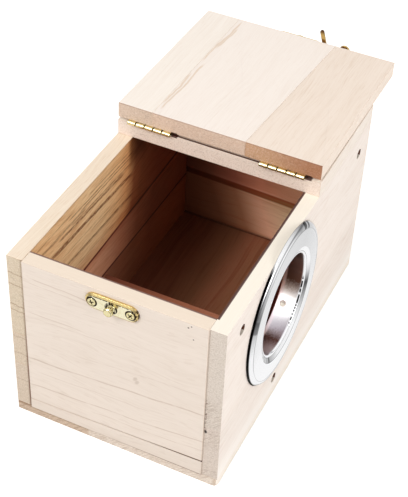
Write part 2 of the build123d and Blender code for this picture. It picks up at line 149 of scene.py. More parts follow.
def made(name, grids, body, stands_for=(), on_lid=False, loop=False):
    """One mesh piece from grids of points, normals and rub: each grid's rows join into quads round
    a closed outline, and its first and last rows are capped, or joined when loop is true."""
    spots, faces, leans, rubs, base = [], [], [], [], 0
    for points, normals, rub in grids:
        rows, count = points.shape[:2]
        row = np.arange(rows if loop else rows - 1)[:, None]
        col = np.arange(count)[None]
        low, high = row * count, (row + 1) % rows * count
        beside = (col + 1) % count
        quads = np.stack([low + col, low + beside, high + beside, high + col], -1).reshape(-1, 4)
        flat = points.reshape(-1, 3)
        a, b, c = (flat[quads[:, i]] for i in (0, 1, 3))
        facing = (np.cross(b - a, c - a) * normals.reshape(-1, 3)[quads[:, 0]]).sum()
        caps = [] if loop else [np.arange(count)[::-1], np.arange(count) + (rows - 1) * count]
        if facing < 0:
            quads, caps = quads[:, ::-1], [cap[::-1] for cap in caps]
        faces += (quads + base).tolist() + [(cap + base).tolist() for cap in caps]
        spots.append(flat)
        leans.append(normals.reshape(-1, 3))
        rubs.append(rub.reshape(-1))
        base += len(flat)
    spots, leans = np.concatenate(spots), np.concatenate(leans)
    if on_lid:
        spots, leans = sagged(spots), sagged(leans, (0, 0, 0))
    mesh = bpy.data.meshes.new(name)
    mesh.from_pydata((spots * MM).tolist(), [], faces)
    mesh.shade_smooth()
    mesh.normals_split_custom_set_from_vertices(leans.tolist())
    mesh.attributes.new("rub", "FLOAT", "POINT").data.foreach_set("value", np.concatenate(rubs))
    mesh.update()
    return placed(bpy.data.objects.new(name, mesh), body, stands_for)


def placed(piece, body, stands_for=()):
    """Links a piece, lets it ride on its body, and lets it stand for its CAD nodes."""
    bpy.context.scene.collection.objects.link(piece)
    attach(piece, body)
    if stands_for:
        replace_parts(piece, *stands_for)
    return piece


def softened(node, name, body, width):
    """A merged copy of a CAD node with its sharp edges rubbed round by a width in millimetres."""
    sharp = math.radians(35)
    shell = bmesh.new()
    shell.from_mesh(nodes[node].data)
    bmesh.ops.remove_doubles(shell, verts=shell.verts, dist=1e-6)
    bmesh.ops.dissolve_limit(shell, angle_limit=math.radians(0.4), verts=shell.verts, edges=shell.edges)
    mesh = bpy.data.meshes.new(name)
    shell.to_mesh(mesh)
    shell.free()
    mesh.shade_smooth()
    mesh.set_sharp_from_angle(angle=sharp)
    piece = bpy.data.objects.new(name, mesh)
    rub = piece.modifiers.new("rubbed", "BEVEL")
    rub.width, rub.segments, rub.limit_method, rub.angle_limit = width * MM, 3, "ANGLE", sharp
    rub.harden_normals = True
    return placed(piece, body, [node])


def board_section(thickness, rub):
    """A board's edge in section: square, with both corners rubbed round."""
    deep = 2 * rub
    return eased([(-deep, 0), (0, 0), (0, thickness), (-deep, thickness)], rub)


def board(node, outline, seat, thickness, body="box", rub=0.45, corner=0.55):
    """A board: its outline, with its corners rubbed, carries the board's edge section."""
    plan = eased(outline, corner, closed=True, steps=4)
    grid = swept(plan, board_section(thickness, rub), seat)
    return made(f"{node}_planed", [grid], body, [node], on_lid=body == "lid")


def rectangle(low, high):
    """A rectangle's corners, anticlockwise, between two corners."""
    (a, b), (c, d) = low, high
    return [(a, b), (c, b), (c, d), (a, d)]


# Wooden boards

def floor_and_walls():
    """The floor with its worn corner, the blind wall's staves, both ends, the divider and the roof."""
    low, high = (LATCH_END, -HALF_WIDTH), (CLOSED_END, HALF_WIDTH)
    board("bottom_board", rectangle(low, high), (Z * 0, X, Y, Z), FLOOR_TOP, corner=[3, 0.55, 0.55, 0.55])
    roof = rectangle((ROOF_FRONT, -HALF_WIDTH), high)
    heights = (FLOOR_TOP, *STAVE_SEAMS, WALL_TOP)
    for stave, foot, top in zip(("lower", "middle", "upper"), heights, heights[1:]):
        corners = rectangle((LATCH_END, foot), (CLOSED_END, top))
        board(f"plain_wall_{stave}_stave", corners, (Y * INNER_HALF, X, Z, Y), BOARD, rub=0.3, corner=0.35)
    inner, seat = INNER_HALF, (X * LATCH_FACE, Y, Z, X)
    upper = [(-inner, SEAM_HIGH), (inner, SEAM_LOW), (inner, WALL_TOP), (-inner, WALL_TOP)]
    lower = [(-inner, FLOOR_TOP), (inner, FLOOR_TOP), (inner, SEAM_LOW), (-inner, SEAM_HIGH - SEAM_GAP)]
    board("latch_end_upper_stave", upper, seat, BOARD, rub=0.4)
    board("latch_end_lower_stave", lower, seat, BOARD, rub=0.3)
    closed = rectangle((-inner, FLOOR_TOP), (inner, WALL_TOP))
    board("closed_end_panel", closed, (X * (CLOSED_END - BOARD), Y, Z, X), BOARD)
    across = rectangle((-inner, FLOOR_TOP), (inner, DIVIDER_TOP))
    board("nest_divider", across, (X * DIVIDER_FRONT, Y, Z, X), BOARD)
    board("fixed_roof", roof, (Z * WALL_TOP, X, Y, Z), ROOF_TOP - WALL_TOP, rub=0.4)


def lid_staves():
    """The folded lid's three glued staves; the seams keep close, so their edges are hardly rubbed."""
    near, far, half, seat = ROOF_FRONT, LID_FAR, LID_HALF_WIDTH, (Z * LID_LOW, X, Y, Z)
    staves = {
        "plain_side": rectangle((near, PLAIN_SEAM), (far, half)),
        "middle": [(near, RING_SEAM_NEAR), (far, RING_SEAM_FAR), (far, PLAIN_SEAM), (near, PLAIN_SEAM)],
        "ring_side": [(near, -half), (far, -half), (far, RING_SEAM_FAR), (near, RING_SEAM_NEAR)],
    }
    for stave, outline in staves.items():
        board(f"lid_{stave}_stave", outline, seat, LID_THICK, "lid", rub=0.28, corner=0.3)


def ring_wall_staves():
    """The entrance wall's staves, with their drilled holes."""
    for node, rub in (("ring_wall_upper_stave", 0.35), ("ring_wall_lower_stave", 0.3)):
        softened(node, f"{node}_planed", "box", rub)


# Steel ring

# The pressing's section: radius, height from the wall's face, and how far each corner is eased
RING_SECTION = [
    (BORE + 0.25, -SLEEVE, 0.2), (BORE, -SLEEVE + 0.9, 0.5), (BORE, 0.5, 0.8), (28.4, 1.7, 0.5),
    (28.95, 2, 0.3), (LIP_EDGE, 1.86, 0.15), (29.8, 1.86, 0.1), (32, 2.88, 0.4), (32.7, 3, 0.3),
    (41.2, 2.86, 0.4), (42.35, 2.6, 0.1), (42.6, 2.72, 0.3), (43.9, 2.5, 0.6), (45, 1.7, 0.5),
    (45.6, 0.8, 0.3), (ROLL_EDGE, 0.35, 0.1), (45.3, 0.05, 0.1), (43, 0.05, 0.3), (28.8, 0.05, 0.2),
    (28.85, -SLEEVE, 0.2),
]


def entrance_ring():
    """The pressed ring: its closed section, from the sleeve over the lip, step and flat face to the
    rolled edge and back along the wall, spun about the bore. The sleeve has four nail holes."""
    seat = (RING_X * X - HALF_WIDTH * Y + RING_Z * Z, X, Z, -Y)
    outline = np.array(RING_SECTION)
    section = eased(outline[:, :2], outline[:, 2], closed=True)
    piece = made("entrance_ring_pressed", [swept(circle(224), section, seat)], "box",
                 ["entrance_ring"], loop=True)
    turns = np.radians([45, 135, 225, 315])
    heart = seat[0] + NAIL_DEPTH * Y
    bit = np.array([(1.7, BORE - 4), (1.7, BORE + 5)]), np.array([(1, 0)] * 2), np.zeros(2)
    bits = [swept(circle(28), bit, (heart, Y, np.cross(way, Y), way))
            for way in np.cos(turns)[:, None] * X + np.sin(turns)[:, None] * Z]
    drill_through(piece, made("sleeve_drill", bits, "box"))


def drill_through(piece, drill):
    """Cuts one piece by another, keeps the result as its mesh, and removes the cutter."""
    cut = piece.modifiers.new("drilled", "BOOLEAN")
    cut.operation, cut.solver, cut.object = "DIFFERENCE", "EXACT", drill
    view = bpy.context.evaluated_depsgraph_get()
    mesh = bpy.data.meshes.new_from_object(piece.evaluated_get(view))
    piece.modifiers.clear()
    piece.data = mesh
    bpy.data.objects.remove(drill)
    mesh.shade_smooth()
    mesh.set_sharp_from_angle(angle=math.radians(40))


# Brass fittings

def stadium(length, height):
    """A plate's outline with round ends: straight sides joined by half circles of half its height."""
    radius, half = height / 2, (length - height) / 2
    turn = np.linspace(-math.pi / 2, math.pi / 2, 25)
    arc = np.stack([np.cos(turn), np.sin(turn)], -1)
    out = np.concatenate([arc, -arc])
    middle = np.repeat([(half, 0), (-half, 0)], 25, 0)
    return middle + radius * out, out, np.zeros(len(out))


def fitting(node, finish, grids, body="box"):
    """A brass piece that stands for its CAD node."""
    return made(f"{node}_{finish}", grids, body, [node], on_lid=body == "lid")


def lathed(section, seat, ease=0.15, count=48):
    """A turned shape: a section of (radius, height) points spun about the seat's axis."""
    return swept(circle(count), eased(section, ease), seat)


def headed(neck, reach, head, thick, stem):
    """A stud's section: a stem, a waisted neck and a low domed head with a soft rim."""
    return [(0.02, -stem), (neck * 0.7, -stem), (neck * 0.7, -0.2), (neck * 1.35, -0.1), (neck * 1.25, 0.25),
            (neck * 0.9, 0.6), (neck * 0.9, reach - 0.35), (neck, reach), (head, reach + 0.05),
            (head, reach + thick * 0.5), (head * 0.8, reach + thick * 0.92), (0.02, reach + thick)]


def screw_head(centre, axis, across, radius, turn, stand=0.4, dome=0.28):
    """A cross-headed screw's face as a height over (radius r, angle): stand + dome (1 - r^2)
    - 0.55 (stand + dome) arm (1.15 - far) - 0.7 (stand + 0.05) rim^2. arm is 1 in the cross, far is
    the larger of |x| and |y|, and rim grows from 0 to 1 over the last tenth of r."""
    rows, count = 26, 72
    share = np.linspace(0.02, 1, rows)[:, None]
    angle = np.linspace(0, 2 * math.pi, count, endpoint=False)[None]
    x, y = share * np.cos(angle - turn), share * np.sin(angle - turn)
    near, far = np.minimum(np.abs(x), np.abs(y)), np.maximum(np.abs(x), np.abs(y))
    half_width, reach = 0.19, 0.68
    arm = np.clip((half_width - near * (1 + 0.3 * far)) / 0.05, 0, 1)
    arm = arm * np.clip((reach - far) / 0.07, 0, 1)
    rim = np.clip((share - 0.9) / 0.1, 0, 1)
    height = stand + dome * (1 - share ** 2) - 0.55 * (stand + dome) * arm * (1.15 - far)
    height = height - (stand + 0.05) * 0.7 * rim ** 2
    side = np.cross(axis, across)
    points = (centre + (share * np.cos(angle) * radius)[..., None] * across
              + (share * np.sin(angle) * radius)[..., None] * side + height[..., None] * axis)
    stem = points[-1:] - axis * (stand + 0.8) + (points[-1:] - centre) * -0.35
    points = np.concatenate([points, stem])
    # Painted shade in the cross and at the rim, carried as rub.
    dark = np.maximum(arm, rim ** 2)
    dark = np.concatenate([dark, dark[-1:]])
    around = np.roll(points, -1, 1) - np.roll(points, 1, 1)
    normals = np.cross(np.gradient(points, axis=0), around)
    normals /= np.linalg.norm(normals, axis=2, keepdims=True)
    if (normals[5] @ axis).sum() < 0:
        normals = -normals
    return points, normals, dark


def screwed_plate(node, body, axis, back, face, level, height, thickness, bevel, turns):
    """A latch plate, whose round-ended outline carries an edge that stands up, then slopes in,
    with a cross-headed screw near each of its ends. Returns the middle of its face."""
    edge = [(-2, 0), (0, 0), (0, thickness - bevel * 0.8), (-bevel * 1.3, thickness), (-3, thickness)]
    seat = (back * X + level * Z, Y, Z, axis)
    fitting(node, "pressed", [swept(stadium(PLATE_LENGTH, height), eased(edge, 0.16), seat)], body)
    middle = face * X + level * Z
    heads = [screw_head(middle + side * PLATE_SCREW * Y, axis, Y, PLATE_SCREW_RADIUS, turn)
             for side, turn in zip((1, -1), turns)]
    fitting(f"{node}_screws", "driven", heads, body)
    return middle


def keeper():
    """The strike plate on the latch end, its two screws and the stud between them."""
    middle = screwed_plate("keeper_plate", "box", -X, LATCH_FACE, KEEPER_FACE, KEEPER_Z,
                           KEEPER_HEIGHT, 1.8, 0.9, (0.35, 0.9))
    fitting("keeper_stud", "turned", [lathed(headed(1.6, 2.6, 2.6, 1.5, 1.7), (middle, Y, Z, -X))])


def latch():
    """The lid's plate, its two screws, the rivet and the hook lever."""
    middle = screwed_plate("latch_plate", "lid", X, LID_FAR, LID_PLATE_FACE, LID_MIDDLE,
                           LID_PLATE_HEIGHT, 1.4, 0.6, (0.2, 1.1))
    fitting("latch_rivet", "turned", [lathed(headed(1.5, 1.8, 2.7, 0.9, 1.3), (middle, Y, Z, X))], "lid")
    softened("latch_lever", "latch_lever_stamped", "latch_lever", 0.22)


def leaf_and_knuckles(start, first, flip):
    """One hinge leaf and every second knuckle, with a gap left between knuckles where the dark-painted
    pin stands for shade.
    """
    back = HINGE_Z - flip * 0.95
    near = HINGE_X + KNUCKLE_RADIUS + 0.25
    seat = (back * Z, X, Y, flip * Z)
    leaf = rectangle((near, start + 0.1), (HINGE_X + LEAF_REACH, start + HINGE_LENGTH - 0.1))
    grids = [swept(eased(leaf, 0.7, closed=True), board_section(LEAF_THICK, 0.15), seat)]
    pitch, gap = HINGE_LENGTH / 5, 0.26
    for place in range(first, 5, 2):
        low, long = start + place * pitch + gap, pitch - 2 * gap
        barrel = [(PIN_RADIUS, 0), (KNUCKLE_RADIUS, 0), (KNUCKLE_RADIUS, long), (PIN_RADIUS, long)]
        grids.append(lathed(barrel, (HINGE_X * X + low * Y + HINGE_Z * Z, Z, X, Y), 0.25, 32))
        tongue = rectangle((HINGE_X, low), (near + 0.4, low + long))
        grids.append(swept(eased(tongue, 0.1, closed=True), board_section(LEAF_THICK, 0.1), seat))
    return grids


def hinges():
    """Both butt hinges: leaves, pins and countersunk screws."""
    for side, start in HINGES.items():
        fitting(f"hinge_{side}_roof_leaf", "rolled", leaf_and_knuckles(start, 1, 1))
        fitting(f"hinge_{side}_lid_leaf", "rolled", leaf_and_knuckles(start, 0, -1), "lid")
        pin = [(0.02, 0), (PIN_RADIUS, 0), (PIN_RADIUS, HINGE_LENGTH), (0.02, HINGE_LENGTH)]
        seat = (HINGE_X * X + start * Y + HINGE_Z * Z, Z, X, Y)
        fitting(f"hinge_{side}_pin", "drawn", [lathed(pin, seat, 0.2, 24)])
    x = HINGE_X + LEAF_REACH * 0.58
    spots = [start + HINGE_LENGTH / 2 + side * SCREW_STEP for start in HINGES.values() for side in (1, -1)]
    for leaf, body, flip, twist in (("roof", "box", 1, 0.3), ("lid", "lid", -1, 0.2)):
        level = (HINGE_Z - flip * 0.2) * Z
        heads = [screw_head(x * X + y * Y + level, flip * Z, X, SCREW_RADIUS, twist * y, 0.02, 0.12)
                 for y in spots]
        fitting(f"hinge_{leaf}_screws", "driven", heads, body)


# Shader maths

def joined(operation):
    """A Wire's method that joins it and any other values in a Math node."""
    return lambda wire, *others: wire.graph.maths(operation, wire, *others)


class Wire:
    """A shader socket that takes part in arithmetic; each operation adds its Math node."""

    def __init__(self, graph, socket):
        self.graph, self.socket = graph, socket

    __add__, __sub__, __mul__, __truediv__ = map(joined, ("ADD", "SUBTRACT", "MULTIPLY", "DIVIDE"))
    above, below, most = map(joined, ("GREATER_THAN", "LESS_THAN", "MAXIMUM"))
    power, size = map(joined, ("POWER", "ABSOLUTE"))

    def __rsub__(self, other):
        return self.graph.maths("SUBTRACT", other, self)

    def rise(self, low, high):
        """0 below low, 1 above high, smooth between."""
        sockets = {0: self, 1: low, 2: high, 3: 0, 4: 1}
        return self.graph.node("MapRange", sockets, interpolation_type="SMOOTHSTEP", clamp=True)

    def fall(self, low, high):
        """1 below low, 0 above high, smooth between."""
        return 1 - self.rise(low, high)

    def band(self, low, high, soft):
        """1 between two levels, with soft sides."""
        return self.rise(low - soft, low) * self.fall(high, high + soft)


class Graph:
    """A node tree, with one method that makes every node."""

    def __init__(self, owner):
        owner.use_nodes = True
        self.owner, self.tree, self.tone = owner, owner.node_tree, None
        self.tree.nodes.clear()

    def node(self, kind, sockets=None, out=0, stops=(), **settings):
        """A node of a kind, with its sockets fed and its settings set; returns one of its outputs."""
        fresh = self.tree.nodes.new("ShaderNode" + kind)
        for key, value in settings.items():
            setattr(fresh, key, value)
        for key, value in (sockets or {}).items():
            if isinstance(value, Wire):
                self.tree.links.new(value.socket, fresh.inputs[key])
            else:
                fresh.inputs[key].default_value = value
        for _ in stops[2:]:
            fresh.color_ramp.elements.new(0.5)
        for place, (position, colour) in enumerate(stops):
            element = fresh.color_ramp.elements[place]
            element.position, element.color = position, colour
        return Wire(self, fresh.outputs[out]) if len(fresh.outputs) else None

    def maths(self, operation, *values):
        """A Math node over some values."""
        return self.node("Math", dict(enumerate(values)), operation=operation)

    def mix(self, factor, low, high, blend="MIX"):
        """A colour between two, by a factor; a hex code stands for its colour."""
        low, high = (srgb(colour) if isinstance(colour, str) else colour for colour in (low, high))
        sockets = {0: factor, 6: low, 7: high}
        return self.node("Mix", sockets, 2, data_type="RGBA", blend_type=blend, clamp_factor=True)

    def paint(self, factor, colour, blend="MIX"):
        """Lays a colour over the running tone, by a factor."""
        self.tone = self.mix(factor, self.tone, colour, blend)

    def tint(self, factor, colour):
        """Multiplies the running tone by a colour, by a factor."""
        self.paint(factor, colour, "MULTIPLY")

    def noise(self, x, y, z, detail=2, roughness=0.5):
        """Noise about 0.5 whose blotches are one unit of x, y and z across."""
        spot = self.node("CombineXYZ", {0: x, 1: y, 2: z})
        sockets = {"Vector": spot, "Scale": 1, "Detail": detail, "Roughness": roughness}
        return self.node("TexNoise", sockets)

    def parted(self, source, factor=1):
        """A vector's three parts as wires."""
        split = self.node("SeparateXYZ", {0: source}).socket.node
        return [Wire(self, split.outputs[axis]) * factor for axis in "XYZ"]

    def place(self):
        """Object coordinates in millimetres, as three wires."""
        return self.parted(self.node("TexCoord", out="Object"), 1000)

    def facing(self):
        """The surface's own direction in object space, as three wires."""
        return self.parted(self.node("TexCoord", out="Normal"))

    def rub(self):
        """How rubbed the mesh says each point is."""
        return self.node("Attribute", out="Fac", attribute_name="rub")

    def bump(self, height, depth, strength):
        """A normal that a height roughens by a depth in millimetres."""
        sockets = {"Height": height, "Distance": depth * MM, "Strength": strength}
        return self.node("Bump", sockets)

    def surface(self, **sockets):
        """Ends the material in a Principled shader with the running tone and these sockets."""
        return self.finish(self.node("BsdfPrincipled", {"Base Color": self.tone, **sockets}))

    def finish(self, shader, kind="OutputMaterial"):
        """Ends the tree in its output; returns its owner."""
        self.node(kind, {"Surface": shader})
        return self.owner


def srgb(code):
    """A hex colour as linear light."""
    values = [int(code[i:i + 2], 16) / 255 for i in (0, 2, 4)]
    linear = [v / 12.92 if v <= 0.04045 else ((v + 0.055) / 1.055) ** 2.4 for v in values]
    return (*linear, 1)


# Materials

def length(a, b):
    """The long side of a right triangle."""
    return (a * a + b * b).power(0.5)


def wood(node, along, face, line, end, seed, figure, inner=None, marks=()):
    """Planed wood. Along the grain it has wide soft bands, thin figure lines where a stretched noise
    crosses its middle, fine fibres and short pores; end grain is speckled, with a few ring lines.
    Edges are rubbed darker, and inner gives the faces inside the box their warmer, darker tone, which
    holds painted shade and painted light."""
    g = Graph(bpy.data.materials.new(f"{node}_wood"))
    p, n = g.place(), g.facing()
    a = "XYZ".index(along)
    b, c = [i for i in range(3) if i != a]
    drift = g.noise(p[a] * 0.009, p[b] * 0.02 + seed, p[c] * 0.02)
    across = p[b] + p[c] * 0.45 + drift * 14 + seed * 11
    bands = g.noise(across * 0.17, p[a] * 0.004 + seed, 0, 3, 0.6)
    fibres = g.noise(across * 1.15, p[a] * 0.035, seed, 3, 0.66)
    pores = g.noise(across * 1.6, p[a] * 0.11, seed + 4, 1.5)
    cloud = g.noise(p[a] * 0.02, p[b] * 0.05, p[c] * 0.05 + seed)
    specks = g.noise(p[0] * 1.25, p[1] * 1.25, p[2] * 1.25 + seed, 2.5, 0.85)
    patch = g.noise(p[0] * 0.2, p[1] * 0.09, p[2] * 0.25 + seed)
    thin = (bands - 0.5).size().fall(0, 0.014) * cloud.rise(0.38, 0.6)
    grain = bands.rise(0.44, 0.68) * 0.3 + fibres.rise(0.4, 0.68) * 0.45 + thin * 0.5
    g.tone = g.mix(grain * figure, face, line)
    g.tint(pores.rise(0.58, 0.68) * 0.35 * figure, line)
    g.tint(cloud.rise(0.45, 0.7) * 0.12 * figure, (0.94, 0.9, 0.86, 1))
    dotted = g.mix(specks.rise(0.5, 0.64) * 0.32, end, deeper(end, 0.55))
    dotted = g.mix(specks.fall(0.36, 0.47) * 0.24, dotted, (0.97, 0.93, 0.9, 1))
    dotted = g.mix((patch - 0.52).size().fall(0, 0.012) * 0.3, dotted, deeper(end, 0.5))
    cut = n[a].size().above(0.7)
    g.paint(cut, dotted)
    g.tint(g.rub() * (cut * 0.25 + 0.3), (0.72, 0.6, 0.48, 1))
    # The inside faces' tone holds painted shade and painted light.
    if inner:
        outer = g.tone
        inner(g, *p, bands, fibres, thin)
        g.tone = g.mix(inside(*p), outer, g.tone)
    for mark in marks:
        mark(g, *p, n)
    height = fibres * 0.5 + pores * 0.4 + specks * 0.25 + thin * -0.3
    sockets = {"Roughness": fibres * 0.2 + 0.5, "Specular IOR Level": 0.25}
    return g.surface(Normal=g.bump(height, 0.12, 0.5), **sockets)


def deeper(code, share):
    """A hex colour taken down towards a warm brown, as linear light."""
    return (*(v * k for v, k in zip(srgb(code), (share, share * 0.9, share * 0.8))), 1)


def inside(x, y, z):
    """1 on the faces that look into the box."""
    return (y.size().below(INNER_HALF + 0.3) * x.above(LATCH_FACE + BOARD - 0.3)
            * x.below(CLOSED_END - BOARD + 0.3) * z.above(FLOOR_TOP - 0.2) * z.below(WALL_TOP - 0.4))


def run(g, along, *stops):
    """A colour that runs between hex codes or grey levels at places along a value, lowest first."""
    low, high = stops[0][0], stops[-1][0]
    codes = [c if isinstance(c, str) else f"{c:02X}{c:02X}{c + 1:02X}" for _, c in stops]
    ends = [((place - low) / (high - low), srgb(code)) for (place, _), code in zip(stops, codes)]
    return g.node("ValToRGB", {0: (along - low) * (1 / (high - low))}, stops=ends)


def draw(g, u, v, lines, wobble, strength, colour):
    """Tints thin lines, each from u, v to u, v with a width and depth, that fade at sides and ends."""
    for u0, v0, u1, v1, width, depth in lines:
        off = (v - v0 - (u - u0) * ((v1 - v0) / (u1 - u0)) + wobble).size()
        low, high = sorted((u0, u1))
        line = off.fall(width * 0.4, width) * u.rise(low - 3, low + 3) * u.fall(high - 3, high + 3)
        g.tint(line * strength * depth, colour)


def inner_wall(*tones, contrast=0.5, streaks=()):
    """Inner face of the blind wall: gold by the latch end, red-brown beyond the roof's front edge, as
    painted light and the roof's painted shadow, with long dark streaks that run a little downhill,
    dark red glue lines between the staves, and a painted shade line along its top."""
    def tone_of(g, x, y, z, bands, fibres, thin):
        reach = x + (WALL_TOP - z) * 0.18 + (fibres - 0.5) * 5.4
        g.tone = run(g, reach, *tones)
        hair = g.noise(x * 0.09, z * 2.6, 1, 2, 0.6).rise(0.48, 0.64)
        fine = fibres.rise(0.46, 0.62) * 0.3 + thin * 0.25 + hair * 0.45
        g.tint(fine * contrast, "BC8A5A")
        wobble = (bands - 0.5) * 2.2 + (fibres - 0.5) * 0.8
        broken = g.noise(x * 0.22, z * 1.1, 7, 2, 0.6).rise(0.38, 0.56) * 0.55 + 0.45
        draw(g, x, z, streaks, wobble, broken, "784212")
        # A dark patch high on the wall by the roof's front edge: painted shadow of the roof.
        g.tint(x.rise(11, 17) * z.rise(84, 102) * x.fall(24, 40), "A09080")
        glue = z - (STAVE_SEAMS[1] + 0.3) - (x + 9) * 0.045
        g.tint(glue.band(0, 4, 7) * x.fall(10, 30) * 0.5, "DDB8AC")
        seams = glue.size().fall(0.35, 1.35).most((z - STAVE_SEAMS[0]).size().fall(0.25, 1.1))
        g.tint(seams * 0.95, "6A1C16")
        # A dark line along the wall's top: painted shade.
        g.tint((WALL_TOP - z).fall(0.3, 1.6) * 0.3, "8A5630")
    return tone_of


def inner_end(g, x, y, z, bands, fibres, thin):
    """Inner face of the closed end: reddish and dark above a dark streak, in the roof's painted shadow,
    paler below and by the ring wall, in painted light, with painted shade along the floor.
    """
    reach = INNER_HALF - y + (fibres - 0.5) * 6.1
    above = run(g, reach, (0, "64382A"), (17, "80503E"), (34, "B97560"), (51, "FCB193"), (72, "FFC8A6"))
    low = reach + (z - 36) * 0.36
    below = run(g, low, (0, "70432E"), (17, "7A4C34"), (34, "AB7657"), (51, "FEC8A7"), (74, "FFE8BE"))
    line = z - 40.2 - (y - 12) * 0.03 + (bands - 0.5) * 4
    g.tone = g.mix(line.rise(-0.8, 0.8), below, above)
    g.tint(line.band(-1.7, 1.2, 1.4) * 0.9, "A06A3C")
    g.tint(bands.rise(0.5, 0.62) * 0.25 + fibres.rise(0.48, 0.7) * 0.25, "C89068")
    # Painted shade in the corner with the floor.
    g.tint((z - FLOOR_TOP).fall(0.4, 2.2) * 0.6, "6A3420")


def inner_floor(g, x, y, z, bands, fibres, thin):
    """The floor inside: warm, paler through the middle in painted light, darker by the blind wall and
    darkest under the ring wall in painted shade, with painted shade lines at the divider and end.
    """
    reach = INNER_HALF - y + (fibres - 0.5) * 10.2
    g.tone = run(g, reach, (0, "663624"), (23, "5F3522"), (38, "724A32"), (51, "98644A"), (64, "9A6A4C"),
                 (76, "5A1C14"), (88, "340A08"))
    g.tint(bands.rise(0.5, 0.62) * 0.35 + fibres.rise(0.48, 0.7) * 0.35, "C08A66")
    # Painted shade lines in the corners at the divider and the closed end.
    corner = (x - DIVIDER_FRONT - BOARD).size().fall(0.3, 1.5)
    corner = corner.most((x - CLOSED_END + BOARD).rise(-1.3, -0.3) * 0.7)
    g.tint(corner * 0.85, "5A2418")


def inner_plain(*tones):
    """A plain run of tones from blind wall (0) to ring wall (1), for faces that show little."""
    def tone_of(g, x, y, z, bands, fibres, thin):
        reach = (INNER_HALF - y) / (2 * INNER_HALF) + (fibres - 0.5) * 0.15
        g.tone = run(g, reach, *tones)
        g.tint(bands.rise(0.5, 0.62) * 0.3 + fibres.rise(0.48, 0.7) * 0.25, "C89468")
    return tone_of


def drilled(g, x, y, z, n):
    """The drilled holes' walls: painted shade, dark deep in and a little paler at the mouth."""
    near = None
    for along, up in HOLES:
        spot = length(x - along, z - up).fall(HOLE_RADIUS + 0.02, HOLE_RADIUS + 0.12)
        near = spot if near is None else near.most(spot)
    depth = y + HALF_WIDTH
    g.paint(near * depth.rise(0, 0.4) * 0.95, g.mix(depth.rise(0.4, 4), "6A3418", "1A0A05"))


def front_marks(g, x, y, z, n):
    """The latch end's outer face: three pin knots, a few longer grain lines and a faint smudge.
    Its top is paler as painted light, with a painted shade line along the inner rim."""
    outer = x.below(LATCH_FACE + 0.5)
    # The top face lighter: painted light.
    g.paint(n[2].above(0.7) * 0.6, "FAE8D2")
    # A dark line along the inner rim: painted shade.
    rim = (x - LATCH_FACE - BOARD).rise(-1.3, -0.8) * z.above(WALL_TOP - 0.9)
    g.paint(rim * 0.85, "5A2018")
    for along, up, size in ((-40.3, 108.8, 0.6), (-41.9, 110.1, 0.5), (-43.2, 102.1, 0.5)):
        spot = length(y - along, z - up).fall(size * 0.5, size)
        g.paint(spot * outer * 0.85, "3A2418")
    wobble = (g.noise(y * 0.03, z * 0.03, 2) - 0.5) * 4
    broken = g.noise(y * 0.12, z * 0.4, 5).rise(0.32, 0.5) * 0.6 + 0.4
    lines = ((49.5, 44.2, -50.7, 52.3, 0.6, 0.5), (49.5, 24.6, -51.6, 31.8, 0.55, 0.45),
             (46, 103.5, 8, 101, 0.5, 0.4), (48, 100, 20, 98.5, 0.4, 0.3),
             (48, 78.6, 18, 79.5, 0.5, 0.3), (44, 75.6, -12, 79, 0.4, 0.25),
             (20, 60, -48, 66, 0.4, 0.2), (44, 36, -20, 40, 0.4, 0.25),
             (10, 21.5, -50, 24.5, 0.4, 0.3))
    draw(g, y, z, lines, wobble, outer * broken * 0.9, "C4AC9C")
    for along, up in ((-12.3, 59.5), (-13.4, 57.6)):
        smudge = length((y - along) * 0.8 + (z - up) * 0.3, (z - up) * 0.6).fall(0.4, 1.3)
        g.tint(smudge * outer * 0.4, "BEB0A4")


def seam_marks(g, x, y, z, n):
    """The sloping seam: a dark joint line on the face, partly painted shade, and painted shade inside the
    gap, both darker where the seam stands open by the ring wall.
    """
    off = z - (SEAM_LOW + SEAM_HIGH) / 2 + y * ((SEAM_HIGH - SEAM_LOW) / (2 * INNER_HALF))
    deep = off.band(-SEAM_GAP - 0.35, 0.35, 0.1) * x.rise(LATCH_FACE + 0.1, LATCH_FACE + 0.5)
    gaping = y.fall(-42, -8)
    g.paint(off.band(-0.1, 0.3, 0.3) * (gaping * 0.74 + 0.16), "9A6A4C")
    # Painted shade inside the open gap.
    g.paint(deep * (gaping * 0.75 + 0.2), "33150A")


def foot_painted_shade(g, x, y, z, n):
    """Painted shade: a dark line where the latch end stands on the bottom board, growing towards the
    ring wall.
    """
    near = (z - FLOOR_TOP).size().fall(0.3, 0.9)
    g.tint(near * y.fall(-34, 30) * x.below(LATCH_END + 0.6) * 0.85, "8A6048")


def left_edge_marks(g, x, y, z, n):
    """The blind wall's cut front edge: ring lines, and shade by the latch end, deeper lower down."""
    cut = x.below(LATCH_END + 0.3)
    wobble = (g.noise(y * 0.25, z * 0.1, 1) - 0.5) * 3
    rings = ((100.5, 0.6), (93, 0.6), (79, 0.7), (75.5, 0.6), (56, 0.4), (44, 0.4), (24, 0.3))
    rings = [(50, up, 62, up + 0.8, 0.55, depth) for up, depth in rings]
    draw(g, y, z, rings, wobble, cut * 0.7, "B08E74")
    beside = (y - INNER_HALF).fall(0.5, 1.9) * (1 - z.rise(8, 108) * 0.6)
    g.tint(beside * cut * 0.95, "80543E")


